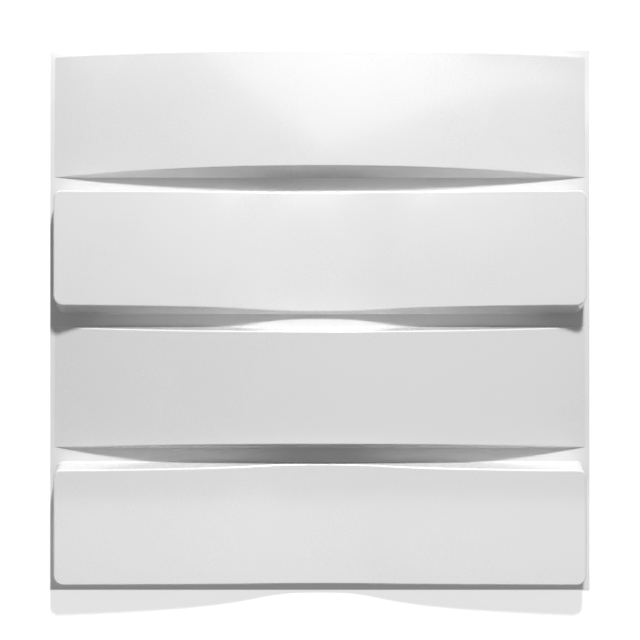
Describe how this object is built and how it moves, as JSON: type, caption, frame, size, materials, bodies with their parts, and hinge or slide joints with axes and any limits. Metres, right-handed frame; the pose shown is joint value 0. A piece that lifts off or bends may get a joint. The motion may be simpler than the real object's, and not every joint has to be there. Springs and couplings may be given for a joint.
{
  "type": "3d wall panel tile",
  "caption": "Square decorative wall panel formed from one white sheet, with long bands across it whose fronts swell and dip in turn, flat grooves between them and an open back.",
  "frame": {"origin": "centre of the square outline at the level of the back of the sheet", "axes": "+X to the right across the bands, +Y from the lower edge to the upper edge of the panel as hung, +Z out of the decorated front; the panel lies on its back"},
  "size_m": [0.5, 0.5, 0.0277],
  "materials": {
    "sheet": "smooth satin-gloss white"
  },
  "bodies": {
    "root": {"wall_panel": "sheet"}
  },
  "joints": []
}
